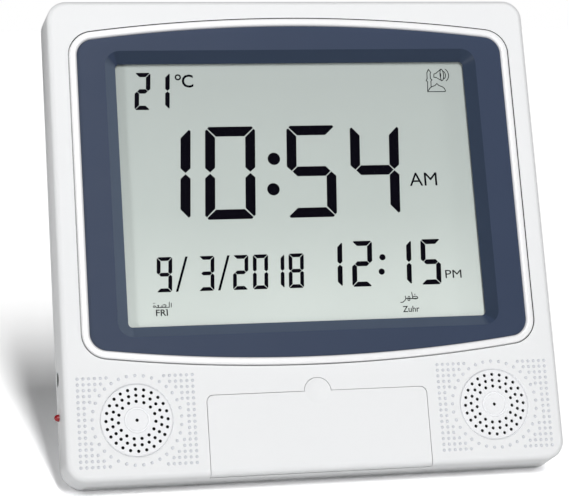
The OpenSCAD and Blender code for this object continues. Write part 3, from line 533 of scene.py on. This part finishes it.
bar_places = {                         # the bars lit for each digit, named as makers name them
    "0": "abcdef", "1": "bc", "2": "abged", "3": "abgcd", "4": "fgbc",
    "5": "afgcd", "8": "abcdefg", "9": "abcdfg",
}
digit_slope = 0.058                    # sideways for each mm up


def digits(places, top, wide, tall, bar, gap):
    """Seven-bar digits, from pairs of the figure and the right edge of its outline. The bars are
    mitred where they meet, with a gap between them."""
    half, mitre, clip = tall / 2, bar + gap, bar * 0.35
    near = (clip + gap) / 2
    bars = {
        "a": [(clip, 0), (wide - clip, 0), (wide - near, -clip / 2), (wide - mitre, -bar),
              (mitre, -bar), (near, -clip / 2)],
        "d": [(mitre, bar - tall), (wide - mitre, bar - tall), (wide - near, clip / 2 - tall),
              (wide - clip, -tall), (clip, -tall), (near, clip / 2 - tall)],
        "f": [(0, -clip - gap * 0.5), (clip / 2, -clip / 2 - gap), (bar, -mitre - gap * 0.4),
              (bar, bar / 2 - half + gap * 0.4), (bar / 2, gap * 0.8 - half),
              (0, bar / 2 - half + gap * 0.2)],
        "g": [(bar / 2 + gap, -half), (mitre, bar / 2 - half), (wide - mitre, bar / 2 - half),
              (wide - bar / 2 - gap, -half), (wide - mitre, -bar / 2 - half),
              (mitre, -bar / 2 - half)],
    }
    bars["e"] = [(x, -tall - y) for x, y in reversed(bars["f"])]
    bars["b"] = [(wide - x, y) for x, y in reversed(bars["f"])]
    bars["c"] = [(wide - x, -tall - y) for x, y in bars["f"]]
    for figure, right in places:
        for name in bar_places[figure]:
            mark([(right - wide + x + y * digit_slope, top + y) for x, y in bars[name]])


def disc(x, y, radius, sides=28):
    mark([(x + radius * math.cos(2 * math.pi * i / sides),
           y + radius * math.sin(2 * math.pi * i / sides)) for i in range(sides)])


def stroke(path, width):
    """A drawn line of even width through the points of a path, with round joints and ends."""
    for (x0, y0), (x1, y1) in zip(path, path[1:]):
        length = math.hypot(x1 - x0, y1 - y0)
        nx, ny = -(y1 - y0) / length * width / 2, (x1 - x0) / length * width / 2
        mark([(x0 + nx, y0 + ny), (x0 - nx, y0 - ny), (x1 - nx, y1 - ny), (x1 + nx, y1 + ny)])
    for x, y in path:
        disc(x, y, width / 2, 10)


def arc(x, y, rx, ry, start, end, steps=14):
    """Points along part of an ellipse, with its ends in degrees."""
    turns = [math.radians(start + (end - start) * i / steps) for i in range(steps + 1)]
    return [(x + rx * math.cos(turn), y + ry * math.sin(turn)) for turn in turns]


# the time
digits((("1", -48.9), ("0", -19.0), ("5", 18.9), ("4", 48.9)),
       top=31.2, wide=23.2, tall=43.6, bar=4.6, gap=0.38)
disc(-11.2, 15.6, 2.9)
disc(-12.4, 1.2, 2.9)

# the temperature
digits((("2", -65.9), ("1", -57.0)), top=57.4, wide=7.2, tall=17.7, bar=2.05, gap=0.18)
stroke(arc(-53.4, 55.1, 1.12, 1.12, 0, 360, 24), 0.7)

# the date and its two slanting strokes
date_top, date_tall = -29.1, 16.0
slant_w, slant_shift = 1.15, 5.15
digits((("9", -60.7), ("3", -41.6), ("2", -26.1), ("0", -17.0), ("1", -9.5), ("8", -0.5)),
       top=date_top, wide=7.0, tall=date_tall, bar=1.72, gap=0.18)
for x in (-60.0, -40.9):
    mark([(x, date_top - date_tall), (x + slant_w, date_top - date_tall),
          (x + slant_w + slant_shift, date_top), (x + slant_shift, date_top)])

# the second time
digits((("1", 17.8), ("2", 31.8), ("1", 50.3), ("5", 64.3)),
       top=-24.1, wide=9.5, tall=21.3, bar=2.3, gap=0.22)
disc(36.2, -32.0, 1.45)
disc(35.3, -38.7, 1.45)

# the small drawing: a dome, a tower and a horn with two sound waves
drawn_w = 0.38
tower = [(64.6, 47.0), (65.0, 51.8), (64.3, 52.4), (64.9, 53.2), (65.0, 56.2), (65.9, 57.9),
         (66.9, 56.3), (66.5, 55.7), (66.5, 53.3), (67.2, 52.8), (66.6, 52.1), (66.5, 49.5)]
dome = [(64.6, 47.0), (65.8, 48.6), (66.9, 49.4), (68.4, 49.9), (69.4, 50.9), (70.3, 49.9),
        (71.9, 49.3), (72.9, 48.4), (73.3, 47.3), (73.1, 46.9), (64.6, 46.9)]
horn_upper = [(68.2, 54.0), (68.4, 55.6), (69.4, 55.9), (72.0, 58.0)]
horn_lower = [(68.2, 54.0), (69.4, 53.8), (72.0, 52.2)]
horn_rim = (arc(71.9, 55.1, 1.15, 2.9, -90, 90), arc(72.1, 55.1, 0.75, 2.9, 105, 255))
sound_waves = (arc(72.3, 55.0, 1.7, 2.1, -62, 62), arc(72.6, 55.0, 2.9, 3.3, -60, 60))
for path in (tower, dome, horn_upper, horn_lower, *horn_rim, *sound_waves):
    stroke(path, drawn_w)
mark(arc(71.6, 55.1, 0.28, 0.9, 0, 360, 16)[:-1])

# the name of the day in both scripts: the joined strokes run from right to left
day_w = 0.34
stroke([(-62.3, -50.2), (-62.4, -51.9)], day_w)
stroke([(-63.2, -49.7), (-63.3, -52.0), (-66.1, -52.0)], day_w)
stroke([(-66.1, -50.9), (-65.2, -50.7), (-64.6, -51.2), (-65.4, -51.9)], day_w)
disc(-64.8, -52.9, 0.22, 10)
stroke(arc(-66.6, -51.6, 0.36, 0.36, 0, 360, 10), 0.26)
stroke([(-66.1, -52.0), (-69.0, -52.0)], day_w)
stroke([(-68.4, -51.9), (-67.9, -51.1), (-68.5, -50.9), (-68.1, -51.9)], 0.28)
stroke([(-69.0, -52.0), (-69.6, -51.2)], 0.3)
stroke(arc(-70.0, -51.5, 0.42, 0.45, 0, 360, 10), 0.3)
disc(-69.7, -50.0, 0.19, 10)
disc(-70.3, -50.0, 0.19, 10)

# the name of the prayer in the same way
prayer_w, loop_w = 0.38, 0.32
stroke([(48.6, -48.8), (48.9, -51.6)], prayer_w)
stroke(arc(50.0, -51.3, 1.25, 0.62, -160, 175, 16), prayer_w)
disc(50.0, -49.8, 0.25, 10)
stroke([(51.1, -51.7), (47.0, -51.7)], 0.42)
stroke(arc(47.1, -51.2, 0.45, 0.6, 0, 360, 12), loop_w)
stroke(arc(47.0, -52.2, 0.5, 0.45, 0, 360, 12), loop_w)
stroke([(46.8, -51.7), (45.7, -51.6), (45.4, -50.5)], prayer_w)
stroke([(45.7, -51.4), (45.0, -52.6), (44.0, -53.3), (43.1, -53.3)], prayer_w)

lcd_black = moulded("lcd_black", colour(10, 7, 17), drift=0.2, patch=0.02, rough=0.7,
                    grain=0.001, relief=0.000001, Specular_IOR_Level=0.0)
mark_crisp_above = 20                  # degrees
marks = new_piece("lcd_marks", mark_points, mark_faces, lcd_black, mark_crisp_above)
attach(marks, "case")


def small_word(name, letters, left, right, low, high, weight=0.0):
    """A printed word that fills a box given in mm round the window's middle. It is as thick as
    the other marks."""
    writing = bpy.data.curves.new(name, "FONT")
    writing.body = letters
    writing.resolution_u = 3
    writing.offset = weight
    writing.extrude = 0.01
    writer = in_scene(name, writing)
    bpy.context.view_layer.update()
    graph = bpy.context.evaluated_depsgraph_get()
    mesh = bpy.data.meshes.new_from_object(writer.evaluated_get(graph))
    bpy.data.objects.remove(writer)
    xs = [p.co.x for p in mesh.vertices]
    ys = [p.co.y for p in mesh.vertices]
    for p in mesh.vertices:
        x = left + (p.co.x - min(xs)) / (max(xs) - min(xs)) * (right - left)
        y = low + (p.co.y - min(ys)) / (max(ys) - min(ys)) * (high - low)
        p.co = on_case(x, window_v + y, mark_front if p.co.z > 0 else mark_back)
    tidy_normals(mesh, mark_crisp_above)
    mesh.materials.clear()
    mesh.materials.append(lcd_black)
    word = in_scene(name, mesh)
    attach(word, "case")


small_word("word_am", "AM", 52.1, 65.3, 1.4, 7.7)
small_word("word_pm", "PM", 65.3, 73.0, -42.7, -38.9)
small_word("word_celsius", "C", -51.7, -46.4, 50.1, 56.4, 0.016)
small_word("word_day", "FRI", -69.4, -64.1, -55.8, -52.9, 0.012)
small_word("word_prayer", "Zuhr", 43.8, 51.6, -57.9, -55.1, 0.008)

window_clear = moulded("window_clear", colour(36, 40, 42), drift=0.005, patch=0.05,
                       rough=0.06, rough_spread=0.02, grain=0.002, relief=0.0000005, Alpha=0.05,
                       IOR=1.49)
window_clear.blend_method = "BLEND"
dress(window_clear, "display_lens")
diffuser = moulded("diffuser", colour(240, 244, 240), drift=0.01, patch=0.01, rough=0.6,
                   grain=0.0008, relief=0.00002)
dress(diffuser, "backlight_panel")
holder_grey = moulded("holder_grey", colour(226, 226, 220), drift=0.03, patch=0.02, rough=0.5)
dress(holder_grey, "lcd_holder")
strip_pink = moulded("strip_pink", colour(214, 120, 146), drift=0.06, patch=0.004, rough=0.7,
                     grain=0.0002, relief=0.00001)
dress(strip_pink, "connector_strip")


# --------------------------------------------------------------------- boards
# Three boards of glass-epoxy with a green solder mask carry the clock: the main board behind
# the display, one behind the keys and a small one behind the left side. Tracks show faintly
# through the mask. Chips, capacitors, crystal and sensor are soldered on.

track_patches_per_metre, track_order, track_height = 260, 0.55, 0.00003
track_green, mask_green = colour(46, 118, 70), colour(20, 84, 48)

board_green, tree, shader = new_material("board_green")
place = node_at(tree, "ShaderNodeTexCoord", -1300, 0)
tracks = node_at(tree, "ShaderNodeTexVoronoi", -1000, 200, feature="DISTANCE_TO_EDGE",
                 distance="EUCLIDEAN")
tracks.inputs["Scale"].default_value = track_patches_per_metre
tracks.inputs["Randomness"].default_value = track_order
edge = node_at(tree, "ShaderNodeMapRange", -750, 200)
edge.inputs["From Min"].default_value = 0.05
edge.inputs["From Max"].default_value = 0.1
mask = node_at(tree, "ShaderNodeMix", -450, 200, data_type="RGBA")
mask.inputs["A"].default_value = track_green
mask.inputs["B"].default_value = mask_green
lift = node_at(tree, "ShaderNodeBump", -450, -200, invert=True)
lift.inputs["Distance"].default_value = track_height
tree.links.new(place.outputs["Object"], tracks.inputs["Vector"])
tree.links.new(tracks.outputs["Distance"], edge.inputs["Value"])
tree.links.new(edge.outputs["Result"], mask.inputs["Factor"])
tree.links.new(edge.outputs["Result"], lift.inputs["Height"])
tree.links.new(mask.outputs["Result"], shader.inputs["Base Color"])
tree.links.new(lift.outputs["Normal"], shader.inputs["Normal"])
shader.inputs["Roughness"].default_value = 0.32
dress(board_green, "main_board", "key_board", "side_board")

chip_black = moulded("chip_black", colour(34, 34, 37), drift=0.1, patch=0.003, rough=0.55,
                     grain=0.0002, relief=0.00001)
dress(chip_black, "clock_chip", "sound_chip", "temperature_sensor", "key_switches", "red_switch",
      "power_socket")
sleeve_blue = moulded("sleeve_blue", colour(38, 48, 92), drift=0.06, patch=0.004, rough=0.3,
                      grain=0.001, relief=0.000005)
dress(sleeve_blue, "capacitors")
plated = moulded("plated", colour(196, 196, 192), drift=0.06, patch=0.004, rough=0.28,
                 rough_spread=0.08, grain=0.0003, relief=0.000004, Metallic=1.0)
dress(plated, "quartz_crystal", "socket_pin", "spring_contacts", "plate_contacts")


# ------------------------------------------------------------- door and keys
# The door over the keys is a thin moulding of the case's white ABS that turns down on two pins
# at the case's foot. The eight keys are light grey caps that come up through the floor of the
# bay behind it.

dress(case_white, "key_door")
key_grey = moulded("key_grey", colour(206, 208, 212), drift=0.02, patch=0.01, rough=0.42,
                   grain=0.0003, relief=0.00001)
dress(key_grey, *[f"key_{i}" for i in range(1, 9)])


# ------------------------------------------------------------------ left side
# A small red push button, moulded with a domed end, looks out of the left side, under the hole
# for the plug. The socket's black body reaches through that hole, with a collar round its bore.
# Both belong to the small board behind the side.

button_red = moulded("button_red", colour(140, 14, 24), drift=0.08, patch=0.002, rough=0.3,
                     grain=0.0005, relief=0.000004)
dress(button_red, "red_button")

collar_black = moulded("collar_black", colour(12, 12, 14), drift=0.1, patch=0.002, rough=0.5,
                       grain=0.0002, relief=0.000006, Specular_IOR_Level=0.3)
socket_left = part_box("power_socket")[0].x
pin_low, pin_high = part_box("socket_pin")
socket_axis = (pin_low + pin_high) / 2
collar_r, bore_r, collar_out, collar_in = 0.0031, 0.0026, 0.0024, 0.0006
rounding = 0.0002
collar_foot, collar_lip = socket_left + collar_in, socket_left - collar_out
collar_section = (                     # radius, place from left to right
    (collar_r, collar_foot), (collar_r, collar_lip),
    (collar_r - rounding, collar_lip - rounding), (bore_r + rounding, collar_lip - rounding),
    (bore_r, collar_lip), (bore_r, collar_foot),
)
collar_sides = 40
turns = [2 * math.pi * side / collar_sides for side in range(collar_sides)]
collar = hoop("socket_collar", [
    [(x, socket_axis.y + radius * math.cos(turn), socket_axis.z + radius * math.sin(turn))
     for turn in turns]
    for radius, x in collar_section
], collar_black)
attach(collar, "case")


# ----------------------------------------------------------- back of the case
# The rear cover, the stand and the battery door are moulded in the same white ABS with a
# coarser sparked skin, which hides scratches on the back. Plated steel screws hold the cover,
# and three cells lie in its bay.

back_white = moulded("back_white", colour(233, 234, 236), drift=0.015, patch=0.04, rough=0.5,
                     rough_spread=0.05, grain=0.0005, relief=0.000015)
dress(back_white, "rear_cover", "stand", "battery_door")
cell_jacket = moulded("cell_jacket", colour(48, 54, 66), drift=0.08, patch=0.01, rough=0.3,
                      grain=0.001, relief=0.000004)
dress(cell_jacket, "battery_cells")
dress(plated, "case_screws", "board_screws", "holder_screws")


# --------------------------------------------------------------------- studio
# A plain white table. A tall soft box stands straight in front, so the shadow falls behind the
# clock; level lamps fill the sides and the back without lighting the table.

floor_half = 9.0
paper_shade, paper_seen = 0.82, 2.4    # its own shade, and the one that is white to the eye
sky_colour, sky_strength = (0.99, 0.995, 1.0, 1), 0.045


def seen_by(tree, *kinds):
    """The output that is 1 for the given kinds of ray, and 0 for the rest."""
    path = node_at(tree, "ShaderNodeLightPath", -700, 300)
    answer = path.outputs[kinds[0]]
    for step, kind in enumerate(kinds[1:]):
        either = node_at(tree, "ShaderNodeMath", 200 * step - 500, 300, operation="MAXIMUM")
        tree.links.new(answer, either.inputs[0])
        tree.links.new(path.outputs[kind], either.inputs[1])
        answer = either.outputs["Value"]
    return answer


floor_mesh = bpy.data.meshes.new("floor")
floor_mesh.from_pydata([(-floor_half, -floor_half, 0), (floor_half, -floor_half, 0),
                        (floor_half, floor_half, 0), (-floor_half, floor_half, 0)], [],
                       [(0, 1, 2, 3)])
floor = in_scene("floor", floor_mesh)
paper, tree = new_material("paper")[:2]
tree.nodes.clear()
out = node_at(tree, "ShaderNodeOutputMaterial", 400, 0)
matt = node_at(tree, "ShaderNodeBsdfDiffuse", 200, 0)
tone = node_at(tree, "ShaderNodeMix", 0, 0, data_type="RGBA")
tone.inputs["A"].default_value = (paper_shade, paper_shade, paper_shade, 1)
tone.inputs["B"].default_value = (paper_seen, paper_seen, paper_seen, 1)
tree.links.new(seen_by(tree, "Is Camera Ray", "Is Glossy Ray", "Is Transmission Ray"),
               tone.inputs["Factor"])
tree.links.new(tone.outputs["Result"], matt.inputs["Color"])
tree.links.new(matt.outputs["BSDF"], out.inputs["Surface"])
floor_mesh.materials.append(paper)

world = bpy.data.worlds.new("studio")
bpy.context.scene.world = world
world.use_nodes = True
tree = world.node_tree
tree.nodes.clear()
out = node_at(tree, "ShaderNodeOutputWorld", 400, 0)
choose = node_at(tree, "ShaderNodeMixShader", 200, 0)
soft = node_at(tree, "ShaderNodeBackground", 0, 0)
soft.inputs["Color"].default_value = sky_colour
soft.inputs["Strength"].default_value = sky_strength
white = node_at(tree, "ShaderNodeBackground", 0, -200)
white.inputs["Color"].default_value = (1, 1, 1, 1)
tree.links.new(seen_by(tree, "Is Camera Ray", "Is Transmission Ray"), choose.inputs["Fac"])
tree.links.new(soft.outputs["Background"], choose.inputs[1])
tree.links.new(white.outputs["Background"], choose.inputs[2])
tree.links.new(choose.outputs["Shader"], out.inputs["Surface"])


def sun(name, toward, strength, spread):
    """Even light from one direction; spread is how wide the lamp looks, in degrees."""
    lamp = bpy.data.lights.new(name, "SUN")
    lamp.energy = strength
    lamp.angle = math.radians(spread)
    in_scene(name, lamp).rotation_euler = Vector(toward).to_track_quat("Z", "Y").to_euler()


# the soft box: how high each part of it stands, in degrees, and its share of the table's light
box_parts = ((54, 0.10), (49, 0.11), (44, 0.14), (39, 0.17), (34, 0.18), (29, 0.17), (24, 0.13))
box_light, box_spread, box_to_right = 1.19, 5, 0.035
for rise, share in box_parts:
    rise = math.radians(rise)
    sun("soft_box", (box_to_right, -math.cos(rise), math.sin(rise)),
        box_light * share / math.sin(rise), box_spread)
sun("left_fill", (-0.83, -0.56, 0.0), 1.65, 6)
sun("right_fill", (0.93, -0.37, 0.0), 0.6, 8)
sun("back_fill", (0.25, 0.97, 0.04), 1.3, 4)

photo_w, lens_px = 569, 1857           # the picture's width and the lens, both in pixels
yaw, elevation, distance = math.radians(11.29), math.radians(7.92), 0.854
aim = Vector((-0.0062, 0, 0.1020))
back = Vector((-math.sin(yaw) * math.cos(elevation), -math.cos(yaw) * math.cos(elevation),
               math.sin(elevation)))
camera = bpy.data.cameras.new("camera")
camera.sensor_width = 36
camera.lens = lens_px / photo_w * camera.sensor_width
camera.clip_start, camera.clip_end = 0.05, 50
viewer = in_scene("camera", camera)
viewer.location = aim + distance * back
viewer.rotation_euler = back.to_track_quat("Z", "Y").to_euler()
bpy.context.scene.camera = viewer
bpy.context.scene.view_settings.view_transform = "Standard"
